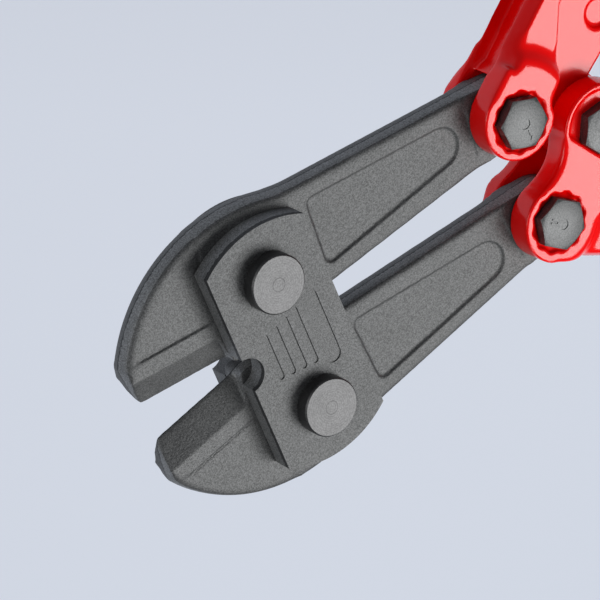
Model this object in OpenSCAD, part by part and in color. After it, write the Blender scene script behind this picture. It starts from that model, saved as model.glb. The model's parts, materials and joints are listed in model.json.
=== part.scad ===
// Bolt cutters with forged jaws, tie plates, forked toggle handles and tubular arms.
// Origin: middle of the back tie plate's outer face, halfway between the jaw pins.
// +X runs along the tool towards the handles, +Y towards the upper jaw, +Z through the front.
// The jaws are drawn open, as the tool lies at rest.

/* [Jaws] */
// Distance between the two jaw pins
pin_spacing = 52; // [48:0.5:64]
// Radius of each jaw pin's shank
pin_r = 8; // [6:0.1:9]
// Thickness of each jaw
jaw_t = 11; // [9:0.1:14]
// Distance from a jaw pin to the nose end of the cutting edge
nose_len = 53.1; // [46:0.1:64]
// Distance from a jaw pin to the pivot in the jaw's tail
tail_len = 107.7; // [95:0.1:130]
// Radius of the rounded end of the tail
tail_r = 13.1; // [11:0.1:13.8]
// Angle by which each jaw stands open at rest
open_angle = 6.9; // [5:0.1:8]
// Gap between the cutting edges when the jaws are shut
shut_gap = 0.5; // [0.3:0.05:0.8]
// Height of the ground bevel on each side of a cutting edge
bevel_h = 11.5; // [9:0.1:14]
// Width of the flat on the cutting edge
edge_flat = 0.3; // [0.2:0.05:0.6]
// Depth of the sunk web beside the cutting edge
web_sink = 0.5; // [0.2:0.05:1]
// Depth of the recessed panel in the tail
panel_sink = 0.9; // [0.4:0.05:1.5]

/* [Tie plates] */
// Thickness of each tie plate
plate_t = 8; // [6:0.1:10]
// Width of the tie plates
plate_w = 41.8; // [36:0.1:48]
// Distance from a jaw pin to the corners of the plate's end
plate_corner = 13.8; // [12:0.1:16]
// Distance from a jaw pin to the crown of the plate's rounded end
plate_crown = 20.1; // [18:0.1:23]
// Radius of the relief notch at the cutting side
notch_r = 6.3; // [4:0.1:8]
// Depth of the grooves in the front plate
groove_depth = 0.4; // [0.2:0.05:0.8]

/* [Pins and bolts] */
// Radius of the round head on a jaw pin
pin_head_r = 10.5; // [10:0.1:13]
// Height of the round head on a jaw pin
pin_head_h = 5.6; // [4:0.1:7]
// Width across flats of the hexagons
hex_flats = 17; // [15:0.1:19]
// Radius of the journal that turns in the tail of a jaw
journal_r = 7; // [6:0.1:7.4]
// Offset of the journal on its adjusting bolt
eccentric = 0.7; // [0.3:0.05:0.9]
// Radius of the bolts' plain end in the back cheek
shank_r = 6; // [5:0.1:6.5]
// Radius of the centre bolt's shank
centre_r = 7; // [6:0.1:7.6]
// Height of the hexagon heads and nuts
hex_h = 4.2; // [3.5:0.1:5]

/* [Forks] */
// Distance from the tail pivot to the centre bolt
crank_len = 36; // [34:0.1:42]
// Angle of each arm to the tool's midline when the handles are shut
shut_lean = 0.23; // [-1:0.01:2]
// Radius of the round cheek at the tail pivot
cheek_r = 14.5; // [13.5:0.1:16]
// Radius of the boss around the centre bolt
boss_r = 16; // [15.5:0.1:17.5]
// Height of the front pads above the jaws' middle plane
pad_front = 16.1; // [14.5:0.1:18]
// Height of the arm's front above the jaws' middle plane
arm_front = 12.3; // [11:0.1:14]
// Depth of the back pads below the jaws' middle plane
pad_back = 12.3; // [11:0.1:15]
// Depth of the arm's back below the jaws' middle plane
arm_back = 8.5; // [8:0.1:10.5]
// Depth of the channel in the arm's outer side
channel_depth = 5; // [3:0.1:7]
// Radius of the machined pad on the upper fork
pad_r_upper = 20.5; // [18:0.1:23]
// Radius of the machined pad on the lower fork
pad_r_lower = 15.5; // [14.6:0.1:17]
// Width of the slope between a pad and the arm
pad_slope = 4; // [2:0.1:5]
// Depth of the star-shaped seats and nut seats
seat_depth = 1.8; // [1:0.1:2.5]
// Gap between a hexagon's corners and the points of its star-shaped seat
star_gap = 1.5; // [0.8:0.1:2]
// Length of the forged arm
arm_len = 104; // [98:0.5:130]
// Full width of the arm
arm_w = 35.8; // [33:0.1:40]
// Distance along the arm to the bumper
bumper_at = 82; // [78:0.5:86]
// Radius of the bumper's head
bumper_r = 7.5; // [6:0.1:9]

/* [Handles] */
// Angle by which the tube leans outward from the arm
handle_bend = 3.5; // [0:0.1:6]
// Outer radius of the tube
tube_r = 13.5; // [12.4:0.1:14.2]
// Wall of the tube
tube_wall = 2.5; // [1.5:0.1:3]
// Length of the handle beyond the arm
handle_len = 494; // [400:1:600]
// Length of the spigot inside the tube
spigot_len = 46; // [38:1:60]
// Length of the soft grip sleeve
grip_len = 138; // [110:1:170]
// Largest radius of the grip sleeve
grip_r = 17.6; // [16:0.1:19]
// Radius of the guard ring and of the end cap
guard_r = 18.5; // [18.2:0.1:21]
// Radius of the cross pins that hold the tube
cross_pin_r = 3; // [2:0.1:3.5]

/* [Fits] */
// Radial clearance of turning and seated round fits
run_clear = 0.05; // [0.02:0.01:0.1]
// Side clearance of a jaw between the tie plates
side_clear = 0.1; // [0.05:0.01:0.2]
// Side clearance of a tail or of the tongue between two cheeks
cheek_clear = 0.25; // [0.15:0.01:0.35]
// Radial play of the tongue's eye on the centre bolt
eye_play = 2.1; // [2:0.05:2.4]
// Gap left between two bumpers when the handles are shut
bumper_gap = 0.6; // [0.4:0.1:1]

/* [Hidden] */
$fn = 64;
eps = 0.01;
more = 1;

steel = [0.36, 0.37, 0.37];
bright = [0.6, 0.6, 0.6];
red = [0.8, 0.03, 0.03];
black = [0.06, 0.06, 0.065];

// Layers through the thickness
plate_gap = jaw_t + 2 * side_clear;
mid_z = plate_t + plate_gap / 2;
cheek_in = jaw_t / 2 + cheek_clear;
tongue_half = jaw_t / 2 - cheek_clear / 2;

// Jaw, in its own frame: pin at the origin, cutting edge along X when shut
edge_y = -(pin_spacing - shut_gap) / 2;
heel_x = 17;
heel_top_x = 21;
tail_rise = 8.75;
tail_pt = [sqrt(tail_len * tail_len - tail_rise * tail_rise), tail_rise];
tail_low = [27.9, -17.8];
tail_top = [22.4, 22.4];
crown_c = [-3.3, -32.7];
crown_r = 58.5;
land_y = -8.3;

// Bolt parts that follow from other sizes
stub_r = pin_r - 2;
pin_nut_h = 5;
collar_r = journal_r + eccentric + 0.5;
star_r = hex_flats / 2 / cos(30) + star_gap;
nut_seat_r = hex_flats / 2 / cos(30) + 0.3;

// Handle pivots, with the jaws open
jaw_pt = [0, pin_spacing / 2];
function turned(p, a) = [p[0] * cos(a) - p[1] * sin(a), p[0] * sin(a) + p[1] * cos(a)];
pivot = jaw_pt + turned(tail_pt, -open_angle);
centre = [pivot[0] + sqrt(crank_len * crank_len - pivot[1] * pivot[1]), 0];
// The handles turn turn_ratio degrees about the tie plates for each degree that a jaw turns
turn_ratio = 4.8;
arm_angle = shut_lean + turn_ratio * open_angle;
crank_angle = arm_angle + asin(pivot[1] / crank_len);

// Fork, in its own frame: tail pivot at the origin, arm along X, outside of the tool along Y
eye = crank_len * [cos(crank_angle), -sin(crank_angle)];
outer_y = cheek_r;
inner_y = outer_y - arm_w;
axis_y = (outer_y + inner_y) / 2;
tail_room = tail_r + 1.2;
eye_r = 15;
// Room that the lower fork leaves round the tongue's end, as its eye moves on the bolt
tongue_room = eye_r + eye_play + 0.3;
// The arm stops just short of the tube, which leans
arm_tip = arm_len - tube_r * sin(handle_bend) - 0.3;
neck_start = arm_len - 26;
shoulder_r = tube_r + 0.8;
shoulder_len = 9;
bevel_start = 14;
back_bevel_start = 18;

// Bumpers meet on the tool's midline when the handles are shut
shut_pivot_y = jaw_pt[1] + tail_pt[1];
lobe_out = 6;
lobe_y = inner_y - lobe_out;
bumper_len = shut_pivot_y + bumper_at * sin(shut_lean) + lobe_y * cos(shut_lean) - bumper_gap / 2;
stem_r = 4;
stem_len = 7;

// Handle stations along the tube, measured from the arm's end
grip_end = handle_len - 14;
grip_start = grip_end - grip_len;
bore_r = tube_r - tube_wall;

function arc(c, r, from, to, n = 24) =
    [for (i = [0 : n]) c + r * [cos(from + (to - from) * i / n), sin(from + (to - from) * i / n)]];
function angle_of(v) = atan2(v[1], v[0]);
// Angle on a circle where a line from point p touches it
function touch(p, c, r, side) = angle_of(p - c) + side * acos(r / norm(p - c));

// ---- placing ----

// Draws a part of the upper half, or its mirror image in the lower half
module half(lower) {
    translate([0, 0, mid_z]) mirror([0, lower ? 1 : 0, 0]) children();
}

module at_jaw(lower) {
    half(lower) translate([jaw_pt[0], jaw_pt[1], 0]) rotate(-open_angle) children();
}

module at_fork(lower) {
    half(lower) translate([pivot[0], pivot[1], 0]) rotate(arm_angle) children();
}

// Tube frame: X along the tube from the arm's end
module at_tube(lower) {
    at_fork(lower) translate([arm_len, axis_y, 0]) rotate(handle_bend) children();
}

// Turns a profile of [radius, distance along X] points round the X axis
module turn_x(points) {
    rotate([90, 0, 90]) rotate_extrude() polygon(points);
}

// Extrudes a plan outline between two heights, and again mirrored below the middle
module both_sides(from, to) {
    front_and_back(from, to, to) children();
}

module front_and_back(from, front, back) {
    translate([0, 0, from]) linear_extrude(front - from) children();
    translate([0, 0, -back]) linear_extrude(back - from) children();
}

// ---- jaws ----

function jaw_outline() = concat(
    [[-nose_len, edge_y], [-9, edge_y], [-6, edge_y + 3.8], [8, edge_y + 6.3]],
    [tail_low],
    arc(tail_pt, tail_r, touch(tail_low, tail_pt, tail_r, 1),
        touch(tail_top, tail_pt, tail_r, -1), 20),
    [tail_top, [15, 23.1]],
    arc(crown_c, crown_r, 78.5, 156.6, 30));

function panel_outline() = concat(
    arc([29.5, -7.6], 3, 180, 275, 6),
    arc([tail_pt[0] - 26.7, 7.9], 7.5, -77, 89, 14),
    arc([28.3, 12.8], 3, 89, 180, 6));

// Ground bevel on one side of the cutting edge, ended by a slanted heel
module edge_bevel() {
    top = jaw_t / 2 + more;
    low = edge_y - more;
    high = edge_y + bevel_h * (top - edge_flat / 2) / (jaw_t / 2 - edge_flat / 2);
    lean = (heel_x - heel_top_x) / bevel_h;
    intersection() {
        translate([-nose_len - 20, 0, 0]) rotate([90, 0, 90]) linear_extrude(nose_len + 20)
            polygon([[low, edge_flat / 2], [edge_y, edge_flat / 2], [high, top], [low, top]]);
        linear_extrude(jaw_t)
            polygon([[-nose_len - 15, low - more], [-heel_x + lean * (low - more - edge_y), low - more],
                     [-heel_x + lean * (high + more - edge_y), high + more], [-nose_len - 15, high + more]]);
    }
}

module jaw(lower) {
    web_end = 3 - plate_w / 2;
    relief_start = plate_w / 2 - 3;
    relief_end = tail_pt[0] - 13.5;
    color(steel) at_jaw(lower) difference() {
        linear_extrude(jaw_t, center = true) polygon(jaw_outline());
        for (s = [0, 1]) mirror([0, 0, s]) edge_bevel();
        // sunk web, and the line that parts it from the land above the bevel
        both_sides(jaw_t / 2 - web_sink, jaw_t)
            polygon([[-nose_len - 8, land_y], [web_end - 2, land_y], [web_end, land_y + 2],
                     [web_end, 40], [-nose_len - 8, 40]]);
        both_sides(jaw_t / 2 - 2 * web_sink, jaw_t)
            polygon([[-nose_len - 8, land_y - 0.2], [web_end - 4, land_y - 0.2],
                     [web_end - 4, land_y + 0.8], [-nose_len - 8, land_y + 0.8]]);
        // relief and panel of the tail
        both_sides(jaw_t / 2 - web_sink, jaw_t)
            polygon([[relief_start, -40], [relief_end, -40], [relief_end, 40], [relief_start, 40]]);
        both_sides(jaw_t / 2 - web_sink - panel_sink, jaw_t) polygon(panel_outline());
        cylinder(r = pin_r + run_clear, h = jaw_t + 2, center = true);
        translate([tail_pt[0], tail_pt[1], 0])
            cylinder(r = journal_r + run_clear, h = jaw_t + 2, center = true);
    }
}

// ---- tie plates and jaw pins ----

function plate_end(s) =
    let (drop = plate_crown - plate_corner,
         r = (plate_w * plate_w / 4 + drop * drop) / (2 * drop),
         c = [0, s * (pin_spacing / 2 + plate_crown - r)],
         a = asin(plate_w / 2 / r))
    arc(c, r, s * 90 - a, s * 90 + a, 24);

module plate_plan() {
    difference() {
        polygon(concat(plate_end(1), plate_end(-1)));
        translate([-plate_w / 2, 0]) circle(r = notch_r);
        for (s = [-1, 1]) translate([0, s * pin_spacing / 2]) circle(r = pin_r + run_clear);
    }
}

module tie_plate_back() {
    color(steel) linear_extrude(plate_t) plate_plan();
}

module tie_plate_front() {
    top = plate_t + plate_gap + plate_t;
    color(steel) difference() {
        translate([0, 0, top - plate_t]) linear_extrude(plate_t) plate_plan();
        for (i = [0 : 3]) translate([-9.9 + 4.6 * i, 0.3, top - groove_depth])
            linear_extrude(more) slot_plan(18.4 + 1.6 * i, 1.1);
        translate([10.6, -0.4, top - groove_depth]) linear_extrude(more) slot_plan(30, 3.2);
    }
}

// Slot along Y with round ends
module slot_plan(length, r) {
    square([2 * r, length - 2 * r], center = true);
    for (s = [-1, 1]) translate([0, s * (length / 2 - r)]) circle(r = r, $fn = 24);
}

module jaw_pin(lower) {
    face = plate_t + plate_gap / 2;
    lip = 0.9;
    bevel = 0.5;
    color(bright) half(lower) translate([0, jaw_pt[1], 0]) {
        translate([0, 0, -face]) cylinder(r = pin_r, h = 2 * face);
        translate([0, 0, -face - pin_nut_h + 0.3]) cylinder(r = stub_r, h = pin_nut_h);
        translate([0, 0, face]) cylinder(r = pin_head_r - 0.6, h = lip);
        translate([0, 0, face + lip]) cylinder(r = pin_head_r, h = pin_head_h - lip - bevel);
        translate([0, 0, face + pin_head_h - bevel])
            cylinder(r1 = pin_head_r, r2 = pin_head_r - bevel, h = bevel);
    }
}

// Hexagon with its corners turned off on the side away from its seat
module hexagon(flats, height, turn) {
    corner = flats / 2 / cos(30);
    intersection() {
        rotate(turn) cylinder(r = corner, h = height, $fn = 6);
        rotate_extrude() polygon([[0, 0], [corner + more, 0], [corner + more, height - 1],
                                  [flats / 2 - 0.3, height], [0, height]]);
    }
}

module jaw_pin_nut(lower) {
    face = plate_t + plate_gap / 2;
    color(steel) half(lower) translate([0, jaw_pt[1], -face]) mirror([0, 0, 1]) difference() {
        hexagon(hex_flats + 4, pin_nut_h, lower ? 12 : 40);
        translate([0, 0, -more]) cylinder(r = stub_r + run_clear, h = pin_nut_h + 2);
    }
}

// ---- adjusting bolts ----

// In the fork's frame: where the two bolts' index marks and journals point, and the turn of
// their hexagons and seats
function mark(lower) = lower ? -168 : -125;
function seat_angle(lower) = lower ? 8.5 : 2.9;
front_seat = pad_front - seat_depth;
back_seat = pad_back - seat_depth;

// Bolt axis, beside the journal that turns in the jaw
module off_journal(lower) {
    translate(eccentric * [cos(mark(lower)), sin(mark(lower)), 0]) children();
}

module at_bolt(lower) {
    at_fork(lower) off_journal(lower) children();
}

module adjusting_bolt(lower) {
    shoulder = jaw_t / 2 + cheek_clear / 2;
    color(bright) at_fork(lower) difference() {
        union() {
            off_journal(lower) {
                translate([0, 0, front_seat]) hexagon(hex_flats, hex_h, seat_angle(lower));
                translate([0, 0, shoulder]) cylinder(r = collar_r, h = front_seat - shoulder);
                translate([0, 0, -back_seat - hex_h + 0.3]) cylinder(r = shank_r, h = back_seat + hex_h);
            }
            cylinder(r = journal_r, h = 2 * shoulder, center = true);
        }
        // centre dimple and index mark
        off_journal(lower) translate([0, 0, front_seat + hex_h - 0.25]) linear_extrude(more) {
            circle(r = 2);
            rotate(mark(lower)) polygon([[2.6, -0.35], [5.2, -0.35], [5.2, -1.1], [6.8, 0], [5.2, 1.1],
                                         [5.2, 0.35], [2.6, 0.35]]);
        }
    }
}

module nut(bore, turn) {
    difference() {
        hexagon(hex_flats, hex_h, turn);
        translate([0, 0, -more]) cylinder(r = bore + run_clear, h = hex_h + 2);
    }
}

module adjusting_nut(lower) {
    color(steel) at_bolt(lower) translate([0, 0, -back_seat]) mirror([0, 0, 1]) nut(shank_r, 20);
}

// ---- centre bolt ----

// Turn of the centre hexagon, square to the flat wall of its seat
seat_turn = 31.8;

module at_centre() {
    translate([centre[0], 0, mid_z]) children();
}

module centre_bolt() {
    color(bright) at_centre() {
        translate([0, 0, front_seat]) hexagon(hex_flats, hex_h + 0.3, seat_turn - 30);
        translate([0, 0, -back_seat - hex_h + 0.3])
            cylinder(r = centre_r, h = front_seat + back_seat + hex_h);
    }
}

module centre_nut() {
    color(steel) at_centre() translate([0, 0, -back_seat]) mirror([0, 0, 1]) nut(centre_r, seat_turn - 30);
}

// Seat of the centre hexagon in the lower fork's frame: round, with one straight wall that
// stops it turning
module centre_seat() {
    rotate(-arm_angle) mirror([0, 1]) intersection() {
        circle(r = boss_r - 2);
        rotate(seat_turn) translate([50 - hex_flats / 2 - 0.3, 0]) square(100, center = true);
    }
}

// ---- forks ----

// Outline of the arm beyond the pocket, narrowing to the tube, with the bumper lobe
arm_end = [[neck_start, outer_y], [arm_tip, axis_y + tube_r], [arm_tip, axis_y - tube_r],
           [neck_start + 16, inner_y + 2.6], [bumper_at + 9.5, lobe_y], [bumper_at - 9.5, lobe_y],
           [bumper_at - 14, inner_y]];

// Cheek of the upper fork, front and back: round end, flange and arm
module upper_cheek_plan() {
    circle(r = cheek_r);
    polygon(concat([[0, outer_y]], arm_end,
        [[66, -14], [60, -4], [52, 3], [42, 4.7], [32, -0.9], [26.7, -4.6], [20.5, -8.6], [11, -9.4],
         [0, -cheek_r]]));
}

// Web of the upper fork: the arm's middle layer, with the tongue that carries the eye
module upper_web_plan() {
    difference() {
        union() {
            polygon(concat([[8, outer_y]], arm_end,
                [[58, -22], [40, -27.5], [eye[0] + 13, eye[1] + 7.5], eye, [eye[0] - 14.2, eye[1] + 5],
                 [eye[0] - 9, eye[1] + 14.5], [7, -14]]));
            translate(eye) circle(r = eye_r);
        }
        circle(r = tail_room);
    }
}

// Cheek of the lower fork: it runs on from the tail pivot to a boss at the centre bolt
module lower_cheek_plan() {
    circle(r = cheek_r);
    translate(eye) circle(r = boss_r);
    polygon(concat([[0, outer_y]], arm_end,
        [[54, -20.5], [42, -21.5], [34, -24.5], [eye[0] + 15.5, eye[1] + 4], eye,
         [eye[0] - 15.5, eye[1] + 4]],
        arc([-19.7, -24.2], 16.5, -10, 48, 10)));
}

// Middle layer of the lower fork, clear of the jaw's tail and of the tongue
module lower_core_plan() {
    difference() {
        polygon(concat([[8, outer_y]], arm_end, [[58, -20], [42, -21], [34, -24], [8, -19]]));
        circle(r = tail_room);
        translate(eye) circle(r = tongue_room);
    }
}

// Machined pad: a raised flat round a bolt, with a slope down to the arm
module pad_cone(r, low, high) {
    translate([0, 0, low - 2]) cylinder(r = r + pad_slope, h = 2 + eps);
    translate([0, 0, low]) cylinder(r1 = r + pad_slope, r2 = r, h = high - low);
}

// The front pad's outer corner is rounded where it meets the arm
module front_pad(r) {
    turn_r = 6;
    turn_c = [sqrt(pow(r - turn_r, 2) - pow(outer_y - turn_r, 2)), outer_y - turn_r];
    out = 3 * turn_c;
    intersection() {
        pad_cone(r, arm_front, pad_front);
        linear_extrude(pad_front) polygon([[turn_c[0], 40], turn_c, out, [60, -60], [-60, -60], [-60, 40]]);
    }
    translate(turn_c) pad_cone(turn_r, arm_front, pad_front);
}

module back_pad() {
    mirror([0, 0, 1]) pad_cone(cheek_r - pad_slope + 2.6, arm_back, pad_back);
}

// Star-shaped seat of an adjusting bolt and the round seat of its nut
module bolt_seats(lower) {
    off_journal(lower) {
        translate([0, 0, front_seat]) linear_extrude(seat_depth + more)
            for (a = [0, 30]) rotate(seat_angle(lower) + a) circle(r = star_r, $fn = 6);
        translate([0, 0, cheek_in - more]) cylinder(r = collar_r + run_clear, h = pad_front);
        translate([0, 0, -pad_back - more]) cylinder(r = nut_seat_r, h = seat_depth + more);
        translate([0, 0, -pad_back - more]) cylinder(r = shank_r + run_clear, h = pad_back);
    }
}

// Slanted outer edges of the arm and the channel between them
module arm_edges() {
    lip = cheek_in + 0.9;
    translate([bevel_start, 0, 0]) rotate([90, 0, 90]) linear_extrude(arm_len - bevel_start + more)
        polygon([[outer_y - 2.6, arm_front + eps], [outer_y + eps, lip], [outer_y + more, lip],
                 [outer_y + more, pad_front + more], [outer_y - 4.5, pad_front + more]]);
    translate([back_bevel_start, 0, 0]) rotate([90, 0, 90])
        linear_extrude(arm_len - back_bevel_start + more)
        polygon([[outer_y + eps, -cheek_in], [outer_y - 2.6, -arm_back - eps],
                 [outer_y - 4.5, -pad_back - more], [outer_y + more, -pad_back - more],
                 [outer_y + more, -cheek_in]]);
    linear_extrude(2 * cheek_in, center = true)
        polygon(concat([[neck_start - 4, outer_y + more], [neck_start - 12, outer_y - channel_depth]],
                       [[tail_room, outer_y - channel_depth], [0, outer_y + more]]));
}

// Shoulder and spigot that carry the tube
module spigot() {
    translate([arm_len, axis_y, 0]) rotate(handle_bend) {
        turn_x([[0, -36], [arm_back - 0.5, -36], [shoulder_r, -shoulder_len], [shoulder_r, -0.8],
                [shoulder_r - 0.8, 0], [bore_r - run_clear, 0],
                [bore_r - run_clear, spigot_len - 1.5], [bore_r - 1.5, spigot_len], [0, spigot_len]]);
    }
}

module cross_pin_places() {
    for (x = [14, 34]) translate([x, 0, 0]) children();
}

module fork_holes() {
    translate([arm_len, axis_y, 0]) rotate(handle_bend) cross_pin_places()
        cylinder(r = cross_pin_r + run_clear, h = 2 * bore_r + 2, center = true);
    translate([bumper_at, lobe_y + stem_len + 0.5, 0]) rotate([90, 0, 0])
        cylinder(r = stem_r + run_clear, h = stem_len + 5);
}

module fork_upper() {
    color(red) at_fork(false) difference() {
        union() {
            front_and_back(cheek_in, arm_front, arm_back) upper_cheek_plan();
            linear_extrude(2 * cheek_in + 2 * eps, center = true) intersection() {
                upper_cheek_plan();
                upper_web_plan();
            }
            linear_extrude(2 * tongue_half, center = true) upper_web_plan();
            intersection() {
                front_and_back(cheek_in, pad_front, pad_back) upper_cheek_plan();
                union() {
                    front_pad(pad_r_upper);
                    back_pad();
                }
            }
            spigot();
        }
        arm_edges();
        bolt_seats(false);
        translate([eye[0], eye[1], 0])
            cylinder(r = centre_r + eye_play, h = 4 * tongue_half, center = true);
        both_sides(tongue_half - 2, pad_front) translate([46.5, -18]) circle(r = 5.5);
        fork_holes();
    }
}

module fork_lower() {
    color(red) at_fork(true) difference() {
        union() {
            front_and_back(cheek_in, arm_front, arm_back) lower_cheek_plan();
            linear_extrude(2 * cheek_in + 2 * eps, center = true) lower_core_plan();
            intersection() {
                front_and_back(cheek_in, pad_front, pad_back) lower_cheek_plan();
                union() {
                    pad_cone(pad_r_lower, arm_front, pad_front);
                    back_pad();
                }
            }
            front_and_back(cheek_in, pad_front, pad_back) lower_flat_plan();
            spigot();
        }
        arm_edges();
        bolt_seats(true);
        translate([eye[0], eye[1], 0]) {
            cylinder(r = centre_r + run_clear, h = 4 * pad_front, center = true);
            translate([0, 0, front_seat]) linear_extrude(seat_depth + more) centre_seat();
            translate([0, 0, -pad_back - more]) cylinder(r = nut_seat_r, h = seat_depth + more);
        }
        fork_holes();
    }
}

// Flat of the lower fork between its two bolts, level with the pads
module lower_flat_plan() {
    intersection() {
        lower_cheek_plan();
        union() {
            translate(eye) circle(r = boss_r + 4);
            polygon([[-14, 0], [pad_r_lower, 0], [30, -13], [eye[0] + 16, eye[1] + 6],
                     [eye[0] - 18, eye[1]], [-12, -16]]);
        }
    }
}

// ---- handles ----

module handle_tube(lower) {
    length = handle_len - 8;
    color(red) at_tube(lower) difference() {
        turn_x([[bore_r, 0.1], [tube_r, 0.1], [tube_r, length], [bore_r, length]]);
        cross_pin_places() cylinder(r = cross_pin_r + run_clear, h = 4 * tube_r, center = true);
    }
}

module cross_pins(lower) {
    half_len = tube_r + 0.4;
    color(bright) at_tube(lower) cross_pin_places() {
        cylinder(r = cross_pin_r, h = 2 * half_len - 1.2, center = true);
        for (s = [0, 1]) mirror([0, 0, s]) translate([0, 0, half_len - 0.6])
            cylinder(r1 = cross_pin_r, r2 = cross_pin_r - 0.6, h = 0.6);
    }
}

// Soft sleeve: slim waist, full palm swell and shallow rings near the guard
module grip_sleeve(lower) {
    inner = tube_r + run_clear;
    swell = grip_r - 15.6;
    color(black) at_tube(lower) turn_x(concat(
        [[inner, grip_end], [inner, grip_start]],
        [for (i = [0 : 28])
            let (t = i / 28)
            [15.6 + swell * pow(sin(180 * t), 2) + 0.8 * t, grip_start + grip_len * t]]));
}

module guard_ring(lower) {
    inner = tube_r + run_clear;
    color(red) at_tube(lower) turn_x([[inner, grip_start - 16], [tube_r + 1.6, grip_start - 16],
        [tube_r + 2.4, grip_start - 8], [guard_r - 0.8, grip_start - 5.5], [guard_r, grip_start - 4],
        [guard_r, grip_start - 1.4], [guard_r - 1, grip_start], [inner, grip_start]]);
}

module end_cap(lower) {
    plug = bore_r - run_clear;
    color(red) at_tube(lower) turn_x([[0, handle_len - 40], [plug - 1, handle_len - 40],
        [plug, handle_len - 39], [plug, handle_len - 8], [tube_r + run_clear, handle_len - 8],
        [tube_r + run_clear, grip_end], [grip_r - 0.6, grip_end], [guard_r - 0.8, grip_end + 3],
        [guard_r, grip_end + 6], [guard_r - 0.6, handle_len - 3.5], [guard_r - 3.4, handle_len - 0.8],
        [guard_r - 7, handle_len], [0, handle_len]]);
}

module bumper(lower) {
    color(black) at_fork(lower) translate([bumper_at, lobe_y, 0]) rotate([90, 0, 0]) {
        translate([0, 0, -stem_len]) cylinder(r = stem_r, h = stem_len);
        cylinder(r = bumper_r, h = bumper_len - 1.2);
        translate([0, 0, bumper_len - 1.2]) cylinder(r1 = bumper_r, r2 = bumper_r - 1.2, h = 1.2);
    }
}

jaw(false);  // jaw_upper
jaw(true);  // jaw_lower
tie_plate_front();
tie_plate_back();
jaw_pin(false);  // jaw_pin_upper
jaw_pin(true);  // jaw_pin_lower
jaw_pin_nut(false);  // jaw_pin_nut_upper
jaw_pin_nut(true);  // jaw_pin_nut_lower
fork_upper();
fork_lower();
adjusting_bolt(false);  // adjusting_bolt_upper
adjusting_bolt(true);  // adjusting_bolt_lower
adjusting_nut(false);  // adjusting_nut_upper
adjusting_nut(true);  // adjusting_nut_lower
centre_bolt();
centre_nut();
handle_tube(false);  // handle_tube_upper
handle_tube(true);  // handle_tube_lower
cross_pins(false);  // cross_pins_upper
cross_pins(true);  // cross_pins_lower
grip_sleeve(false);  // grip_sleeve_upper
grip_sleeve(true);  // grip_sleeve_lower
guard_ring(false);  // guard_ring_upper
guard_ring(true);  // guard_ring_lower
end_cap(false);  // end_cap_upper
end_cap(true);  // end_cap_lower
bumper(false);  // bumper_upper
bumper(true);  // bumper_lower
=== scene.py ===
"""Looks of the bolt cutters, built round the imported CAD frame. Metres, in the same frame."""
import json
import math

import bmesh
import bpy
from mathutils import Matrix, Vector
from mathutils.kdtree import KDTree


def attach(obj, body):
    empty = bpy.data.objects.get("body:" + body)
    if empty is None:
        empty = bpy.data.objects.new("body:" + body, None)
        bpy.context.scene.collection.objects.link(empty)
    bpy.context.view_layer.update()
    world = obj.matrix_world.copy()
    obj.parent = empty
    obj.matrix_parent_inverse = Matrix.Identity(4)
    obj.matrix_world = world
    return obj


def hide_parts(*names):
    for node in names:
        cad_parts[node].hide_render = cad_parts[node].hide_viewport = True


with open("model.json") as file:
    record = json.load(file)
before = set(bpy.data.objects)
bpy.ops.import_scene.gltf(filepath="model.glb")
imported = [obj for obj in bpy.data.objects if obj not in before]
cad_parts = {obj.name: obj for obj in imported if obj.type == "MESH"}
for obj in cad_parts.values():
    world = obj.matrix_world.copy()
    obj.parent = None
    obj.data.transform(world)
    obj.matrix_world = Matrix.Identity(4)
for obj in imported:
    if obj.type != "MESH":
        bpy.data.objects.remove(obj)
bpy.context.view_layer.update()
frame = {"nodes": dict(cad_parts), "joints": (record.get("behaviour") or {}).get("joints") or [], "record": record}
nodes = frame["nodes"]
bodies = frame["record"]["behaviour"]["bodies"]
SLOT_OF = {part["node"]: part["material_slot"] for part in frame["record"]["subparts"]}
joint_at = {joint["name"]: Vector(joint["pos_m"]) for joint in frame["joints"]}

MM = 0.001
SIDES = ("upper", "lower")
PIN_Y = joint_at["jaw_upper_pivot"].y
JAW_MIDDLE = joint_at["jaw_upper_pivot"].z
FRONT_Z = 27.2 * MM  # the front plate's outer face
TORN_DEPTH = 2.1 * MM  # torn part of a punched plate's wall, from its outer face


def body_of(node):
    return next(body for body, members in bodies.items() if node in members)


# ---------------------------------------------------------------- camera and lights

def look_at(obj, target, roll=0.0):
    """Turns obj so that its -Z axis points at target, then rolls it about that axis."""
    forward = (target - obj.location).normalized()
    right = forward.cross(Vector((0, 0, 1))).normalized()
    up = right.cross(forward)
    turn = Matrix((right, up, -forward)).transposed()
    obj.matrix_world = Matrix.Translation(obj.location) @ (
        Matrix.Rotation(roll, 4, -forward) @ turn.to_4x4())


scene = bpy.context.scene
camera = bpy.data.objects.new("camera", bpy.data.cameras.new("camera"))
scene.collection.objects.link(camera)
camera.data.sensor_width = 36
camera.data.lens = 301.4
camera.data.clip_end = 50
camera.location = (-0.56844, 0.85662, 1.36498)
look_at(camera, Vector((0.00723, 0.01285, 0.0272)), math.radians(116.09))
scene.camera = camera
scene.view_settings.view_transform = "Standard"


def area_light(name, place, aim, size, power):
    light = bpy.data.objects.new(name, bpy.data.lights.new(name, "AREA"))
    scene.collection.objects.link(light)
    light.data.shape = "RECTANGLE"
    light.data.size, light.data.size_y = size, size
    light.data.energy = power
    light.location = place
    look_at(light, Vector(aim))


area_light("softbox", (0.50, -0.70, 1.15), (0.06, 0, 0), 0.9, 19)
area_light("side_panel", (-0.95, 0.55, 0.45), (0.05, 0.02, 0), 0.6, 4)
area_light("top_panel", (-0.5, -0.9, 1.0), (0.02, 0, 0), 0.5, 3)

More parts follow.
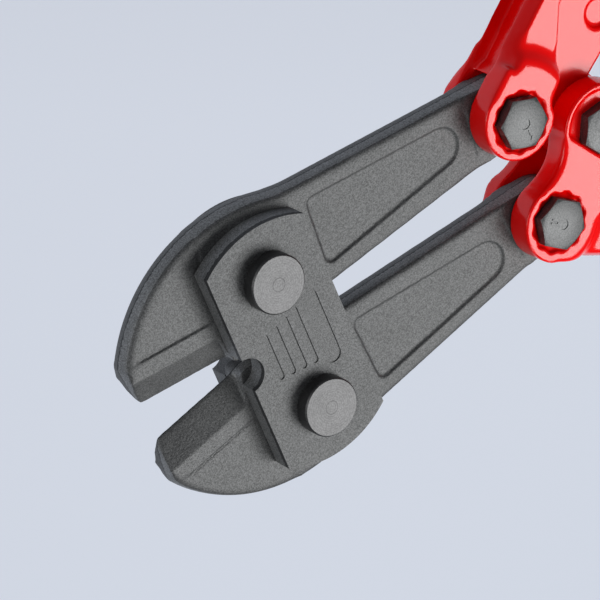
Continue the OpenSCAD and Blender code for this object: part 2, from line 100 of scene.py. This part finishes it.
world = bpy.data.worlds.new("studio")
world.use_nodes = True
world.node_tree.nodes["Background"].inputs["Color"].default_value = (0.80, 0.85, 0.93, 1)
world.node_tree.nodes["Background"].inputs["Strength"].default_value = 0.13
scene.world = world


# ---------------------------------------------------------------- materials

class Nodes:
    """A material's node tree, with short ways to add and join nodes."""

    def __init__(self, name):
        self.material = bpy.data.materials.new(name)
        self.material.use_nodes = True
        self.tree = self.material.node_tree
        self.shader = self.tree.nodes["Principled BSDF"]
        self.place = self.add("ShaderNodeTexCoord").outputs["Object"]

    def add(self, kind, **settings):
        node = self.tree.nodes.new(kind)
        for key, value in settings.items():
            setattr(node, key, value)
        return node

    def put(self, socket, value):
        if isinstance(value, bpy.types.NodeSocket):
            self.tree.links.new(value, socket)
        else:
            socket.default_value = value

    def set(self, socket, value):
        """Sets a socket of the shader."""
        self.put(self.shader.inputs[socket], value)

    def noise(self, scale, detail=2.0, roughness=0.5):
        node = self.add("ShaderNodeTexNoise")
        self.put(node.inputs["Vector"], self.place)
        self.put(node.inputs["Scale"], scale)
        self.put(node.inputs["Detail"], detail)
        self.put(node.inputs["Roughness"], roughness)
        return node.outputs["Fac"]

    def ramp(self, value, *stops):
        """Each of the two stops is (position, grey or colour)."""
        node = self.add("ShaderNodeValToRGB")
        self.put(node.inputs["Fac"], value)
        for mark, (position, colour) in zip(node.color_ramp.elements, stops):
            mark.position = position
            mark.color = (*colour, 1) if isinstance(colour, tuple) else (colour, colour, colour, 1)
        return node.outputs["Color"]

    def math(self, operation, a, b=0.0):
        node = self.add("ShaderNodeMath", operation=operation)
        self.put(node.inputs[0], a)
        self.put(node.inputs[1], b)
        return node.outputs[0]

    def split(self, vector):
        node = self.add("ShaderNodeSeparateXYZ")
        self.put(node.inputs[0], vector)
        return node.outputs

    def multiply(self, colour, factor):
        node = self.add("ShaderNodeMix", data_type="RGBA", blend_type="MULTIPLY")
        self.put(node.inputs["Factor"], 1.0)
        self.put(node.inputs[6], colour)
        self.put(node.inputs[7], factor)
        return node.outputs[2]

    def bump(self, *layers):
        """Each layer is (height, distance in metres, strength). Later layers go on top."""
        normal = None
        for height, distance, strength in layers:
            node = self.add("ShaderNodeBump")
            self.put(node.inputs["Height"], height)
            self.put(node.inputs["Distance"], distance)
            self.put(node.inputs["Strength"], strength)
            if normal is not None:
                self.put(node.inputs["Normal"], normal)
            normal = node.outputs["Normal"]
        self.put(self.shader.inputs["Normal"], normal)


def clouded(n, scale, dark, light, rough, detail=3, roughness=0.6):
    """Faint cloudy patches: gives the base colour, and sets the shader's roughness with them."""
    cloud = n.noise(scale, detail, roughness)
    n.set("Roughness", n.ramp(cloud, (0.3, rough[0]), (0.7, rough[1])))
    return n.ramp(cloud, (0.3, dark), (0.7, light))


def moulded(name, cloud, grain, dark, light, rough, bump):
    """Cloudy patches of colour, and a fine grain that also varies the gloss.
    cloud and grain are (scale, detail, roughness) of their noise, bump is (distance, strength)."""
    n = Nodes(name)
    fine = n.noise(*grain)
    n.set("Base Color", n.ramp(n.noise(*cloud), (0.3, dark), (0.7, light)))
    n.set("Roughness", n.ramp(fine, (0.3, rough[0]), (0.7, rough[1])))
    n.bump((fine, *bump))
    return n.material


def forged_steel():
    """Blackened, blasted forging: dark grey with a fine sandy grain and faint cloudy patches.
    Painted light makes the walls' upper halves twice as light as the flats and the lower walls. A trimmed
    flash line runs halfway up a forging, and a punched plate's walls are torn next to its outer face."""
    n = Nodes("forged_steel")
    grain = n.noise(1900, 3, 0.7)
    pits = n.noise(1000, 2, 0.5)
    facing = n.split(n.add("ShaderNodeNewGeometry").outputs["Normal"])["Z"]
    wall = n.math("LESS_THAN", n.math("ABSOLUTE", facing), 0.5)
    wander = n.math("MULTIPLY", n.math("SUBTRACT", n.noise(900, 1), 0.5), 1.2 * MM)
    z = n.math("ADD", n.split(n.place)["Z"], wander)
    off_line = n.math("ABSOLUTE", n.math("SUBTRACT", z, JAW_MIDDLE))
    flash = n.math("MULTIPLY", n.math("LESS_THAN", off_line, 0.28 * MM), wall)
    torn = n.math("MULTIPLY", n.math("GREATER_THAN", z, FRONT_Z - TORN_DEPTH), wall)
    # painted light: walls above the middle plane, except the torn band, are coloured lighter than flats and lower
    # walls
    painted_light_upper_walls = n.math("SUBTRACT", n.math("MULTIPLY", n.math("GREATER_THAN", z, JAW_MIDDLE), wall), torn)
    dark = n.math("MAXIMUM", flash, n.math("MULTIPLY", torn, 0.6))
    base = clouded(n, 70, (0.210, 0.214, 0.216), (0.280, 0.286, 0.286), (0.48, 0.58))
    base = n.multiply(base, n.ramp(grain, (0.36, 0.42), (0.64, 1.15)))
    base = n.multiply(base, n.ramp(dark, (0, 1.0), (1, 0.25)))
    # painted light: the base colour is halved everywhere except on the upper walls
    n.set("Base Color", n.multiply(base, n.ramp(painted_light_upper_walls, (0, 0.5), (1, 1.0))))
    n.set("Metallic", 0.45)
    tears = n.math("MULTIPLY", n.noise(1100, 3, 0.7), torn)
    n.bump((pits, 0.3 * MM, 0.4), (grain, 0.2 * MM, 0.6), (tears, 0.6 * MM, 0.8), (flash, 0.3 * MM, 0.5))
    return n.material


def pin_steel():
    """Turned, satin steel with faint rings round each jaw pin's axis."""
    n = Nodes("pin_steel")
    fine = n.noise(1900, 2, 0.6)
    spot = n.split(n.place)
    along = n.math("SUBTRACT", n.math("ABSOLUTE", spot["Y"]), PIN_Y)
    radius = n.math("SQRT", n.math("ADD", n.math("MULTIPLY", along, along),
                                   n.math("MULTIPLY", spot["X"], spot["X"])))
    turned = n.math("SINE", n.math("MULTIPLY", radius, 7500))
    centre = n.math("LESS_THAN", n.math("ABSOLUTE", n.math("SUBTRACT", radius, 2.4 * MM)), 0.2 * MM)
    base = clouded(n, 120, (0.070, 0.070, 0.071), (0.095, 0.095, 0.096), (0.36, 0.46))
    base = n.multiply(base, n.ramp(fine, (0.36, 0.75), (0.64, 1.1)))
    base = n.multiply(base, n.ramp(turned, (0, 0.9), (1, 1.05)))
    n.set("Base Color", n.multiply(base, n.ramp(centre, (0, 1.0), (1, 0.7))))
    n.set("Metallic", 0.75)
    n.bump((fine, 0.1 * MM, 0.3))
    return n.material


def bolt_steel():
    n = Nodes("bolt_steel")
    fine = n.noise(1900, 2, 0.6)
    base = clouded(n, 160, (0.080, 0.082, 0.082), (0.115, 0.117, 0.117), (0.38, 0.5))
    n.set("Base Color", n.multiply(base, n.ramp(fine, (0.36, 0.6), (0.64, 1.15))))
    n.set("Metallic", 0.7)
    n.bump((fine, 0.12 * MM, 0.4))
    return n.material


def red_enamel():
    n = Nodes("red_enamel")
    base = clouded(n, 60, (0.86, 0.0, 0.0), (0.94, 0.001, 0.001), (0.14, 0.18), 2, 0.5)
    n.set("Base Color", base)
    n.set("Specular IOR Level", 0.45)
    n.bump((n.noise(420, 2, 0.5), 0.3 * MM, 0.12))
    return n.material


def rubber():
    return moulded("grip_rubber", (90, 3, 0.6), (1500, 2, 0.6),
                   (0.018, 0.018, 0.02), (0.03, 0.03, 0.032), (0.55, 0.72), (0.3 * MM, 0.4))


def red_plastic():
    return moulded("red_plastic", (80, 2, 0.5), (1800, 2, 0.5),
                   (0.55, 0.012, 0.012), (0.62, 0.016, 0.016), (0.38, 0.48), (0.2 * MM, 0.25))


LOOKS = {"blackened_steel": forged_steel(), "pin_steel": pin_steel(), "bolt_steel": bolt_steel(),
         "red_enamel": red_enamel(), "grip_rubber": rubber(), "bumper_rubber": rubber(),
         "red_plastic": red_plastic()}


def dress(obj, material):
    obj.data.materials.clear()
    obj.data.materials.append(material)


for name, node in nodes.items():
    dress(node, LOOKS[SLOT_OF[name]])


# ---------------------------------------------------------------- forgings with rounded edges

def copy_of(name, new_name):
    piece = bpy.data.objects.new(new_name, nodes[name].data.copy())
    scene.collection.objects.link(piece)
    return piece


def apply_modifiers(piece):
    depsgraph = bpy.context.evaluated_depsgraph_get()
    mesh = bpy.data.meshes.new_from_object(piece.evaluated_get(depsgraph))
    piece.modifiers.clear()
    piece.data = mesh


# Edges are eased in full up to the first distance from a rim point, and not at all past the second
RIM_IN = 2.2 * MM
RIM_OUT = 5.5 * MM
RIM_STEP = 0.6 * MM  # between the points along a rim
EASE_FACTOR = 0.5
WELD_DISTANCE = 1e-6

# Slopes of a jaw's walls, the crown's blending into the tail's between two places along X
TAIL_LEAN = 0.1
CROWN_LEAN = 0.2
CROWN_Y = 12 * MM
CROWN_R = 45 * MM
BLEND_FROM = 14 * MM
BLEND_LENGTH = 12 * MM
NOSE_FACING = -0.98
PIN_BORE_R = 9 * MM
JOURNAL_BORE_R = 8.5 * MM

# Where a fork's lug blends into its arm: radii about its pivot, and height off the middle plane
NECK_IN = 15.2 * MM
NECK_OUT = 26 * MM
NECK_Z = 7 * MM
NECK_ANGLE = 0.4

JAW_VOXEL, JAW_ROUNDS, JAW_RIM_ROUNDS = 0.5 * MM, 3, 90
FORK_VOXEL, FORK_ROUNDS, FORK_RIM_ROUNDS = 0.6 * MM, 6, 60


def welded(piece):
    mesh = bmesh.new()
    mesh.from_mesh(piece.data)
    bmesh.ops.remove_doubles(mesh, verts=mesh.verts, dist=WELD_DISTANCE)
    return mesh


def points_along(edges):
    points = []
    for edge in edges:
        start, end = (vert.co.copy() for vert in edge.verts)
        steps = max(1, round((end - start).length / RIM_STEP))
        points += [start.lerp(end, i / steps) for i in range(steps + 1)]
    return points


def outer_walls(mesh, bores):
    """Upright faces of the outline that reach the middle plane. Bores and the ground nose are left out."""
    walls = []
    for face in mesh.faces:
        upright = abs(face.normal.z) <= 0.05
        reaches = min(abs(vert.co.z - JAW_MIDDLE) for vert in face.verts) <= WELD_DISTANCE
        if not upright or not reaches or face.normal.x < NOSE_FACING:
            continue
        spot = face.calc_center_median()
        if all((spot - centre).xy.length > radius for centre, radius in bores):
            walls.append(face)
    return walls


def wall_lean(spot):
    """Slope of a jaw's wall at a point: steep along the tail, flatter round the crown."""
    if abs(spot.y) < CROWN_Y or spot.xy.length < CROWN_R:
        return TAIL_LEAN
    blend = min(1, max(0, (BLEND_FROM - spot.x) / BLEND_LENGTH))
    return TAIL_LEAN + (CROWN_LEAN - TAIL_LEAN) * blend


def draft(piece, bores):
    """Leans the outline's walls in from a parting line at the middle plane, as a forging's are.
    Returns points along the edges where those walls meet the flat faces."""
    mesh = welded(piece)
    bmesh.ops.bisect_plane(mesh, geom=mesh.verts[:] + mesh.edges[:] + mesh.faces[:], dist=1e-7,
                           plane_co=(0, 0, JAW_MIDDLE), plane_no=(0, 0, 1))
    mesh.normal_update()
    walls = outer_walls(mesh, bores)
    outward = {}
    for face in walls:
        for vert in face.verts:
            outward.setdefault(vert, []).append(face.normal.xy.normalized())
    rims = {edge for face in walls for edge in face.edges
            if any(abs(other.normal.z) > 0.9 for other in edge.link_faces)}
    for vert, normals in outward.items():
        mean = sum(normals, Vector((0, 0))).normalized()
        height = abs(vert.co.z - JAW_MIDDLE)
        vert.co.xy -= mean * wall_lean(vert.co) * height / max(0.5, mean.dot(normals[0]))
    points = points_along(rims)
    mesh.to_mesh(piece.data)
    mesh.free()
    return points


def neck_points(piece, pivot):
    """Points along a fork's sharp edges between its round lug and its arm, which blend there."""
    mesh = welded(piece)
    sharp = [edge for edge in mesh.edges
             if len(edge.link_faces) == 2 and edge.calc_face_angle(0) > NECK_ANGLE]
    points = [spot for spot in points_along(sharp)
              if NECK_IN < (spot - pivot).xy.length < NECK_OUT and abs(spot.z - pivot.z) > NECK_Z]
    mesh.free()
    return points


def near_rims(piece, rims):
    """A vertex group that fades from 1 close to the rim points to 0 further off."""
    tree = KDTree(len(rims))
    for i, point in enumerate(rims):
        tree.insert(point, i)
    tree.balance()
    group = piece.vertex_groups.new(name="rim")
    for vert in piece.data.vertices:
        distance = tree.find(vert.co)[2]
        if distance < RIM_OUT:
            group.add([vert.index], min(1, (RIM_OUT - distance) / (RIM_OUT - RIM_IN)), "REPLACE")
    return group.name


def ease(piece, rounds, group=""):
    smooth = piece.modifiers.new("ease", "SMOOTH")
    smooth.factor = EASE_FACTOR
    smooth.iterations = rounds
    smooth.vertex_group = group


def rounded(piece, rims, voxel, rounds, rim_rounds):
    """Remeshes a piece and eases its edges, with more rounds close to the rim points."""
    remesh = piece.modifiers.new("remesh", "REMESH")
    remesh.mode = "VOXEL"
    remesh.voxel_size = voxel
    apply_modifiers(piece)
    ease(piece, rim_rounds, near_rims(piece, rims))
    ease(piece, rounds)
    apply_modifiers(piece)
    piece.data.shade_smooth()


def stand_for(piece, name):
    """The piece takes the CAD node's place, look and body."""
    dress(piece, LOOKS[SLOT_OF[name]])
    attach(piece, body_of(name))
    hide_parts(name)


for side in SIDES:
    jaw_pin, journal = joint_at[f"jaw_{side}_pivot"], joint_at[f"handle_{side}_pivot"]

    jaw = copy_of("jaw_" + side, "forged_jaw_" + side)
    rims = draft(jaw, [(jaw_pin, PIN_BORE_R), (journal, JOURNAL_BORE_R)])
    rounded(jaw, rims, JAW_VOXEL, JAW_ROUNDS, JAW_RIM_ROUNDS)
    stand_for(jaw, "jaw_" + side)

    fork = copy_of("fork_" + side, "forged_fork_" + side)
    rounded(fork, neck_points(fork, journal), FORK_VOXEL, FORK_ROUNDS, FORK_RIM_ROUNDS)
    stand_for(fork, "fork_" + side)


# ---------------------------------------------------------------- turned, stamped and moulded pieces

BEVEL_ANGLE = math.radians(30)
SPLIT_ANGLE = math.radians(28)
EASED = {"jaw_pin_nut": 0.25 * MM, "adjusting_nut": 0.25 * MM, "centre_nut": 0.25 * MM,
         "end_cap": 0.4 * MM, "guard_ring": 0.4 * MM}
FORGED = ("jaw", "fork")


def shade_smooth(node, width):
    """Shades a CAD node smooth between its sharp edges, and rounds those a little where width > 0."""
    node.modifiers.new("weld", "WELD").merge_threshold = WELD_DISTANCE
    if width > 0:
        bevel = node.modifiers.new("bevel", "BEVEL")
        bevel.width = width
        bevel.segments = 2
        bevel.limit_method = "ANGLE"
        bevel.angle_limit = BEVEL_ANGLE
        bevel.use_clamp_overlap = False
        bevel.harden_normals = True
    else:
        node.modifiers.new("split", "EDGE_SPLIT").split_angle = SPLIT_ANGLE
    for face in node.data.polygons:
        face.use_smooth = True


for name, node in nodes.items():
    kind = name
    for ending in ("_upper", "_lower", "_front", "_back"):
        kind = kind.removesuffix(ending)
    if kind not in FORGED:
        shade_smooth(node, EASED.get(kind, 0))


# ---------------------------------------------------------------- floor

FLOOR_Z = -0.45
FLOOR_HALF = 8


def make_floor():
    r = FLOOR_HALF
    mesh = bpy.data.meshes.new("floor")
    mesh.from_pydata([(-r, -r, FLOOR_Z), (r, -r, FLOOR_Z), (r, r, FLOOR_Z), (-r, r, FLOOR_Z)],
                     [], [(0, 1, 2, 3)])
    floor = bpy.data.objects.new("floor", mesh)
    scene.collection.objects.link(floor)
    n = Nodes("floor")
    n.set("Roughness", 0.9)
    n.set("Specular IOR Level", 0.1)
    n.set("Base Color", n.ramp(n.noise(1.5, 1), (0.3, (0.41, 0.435, 0.485)), (0.7, (0.42, 0.445, 0.495))))
    n.set("Emission Color", (0.60, 0.645, 0.73, 1))
    n.set("Emission Strength", 0.49)
    dress(floor, n.material)


make_floor()
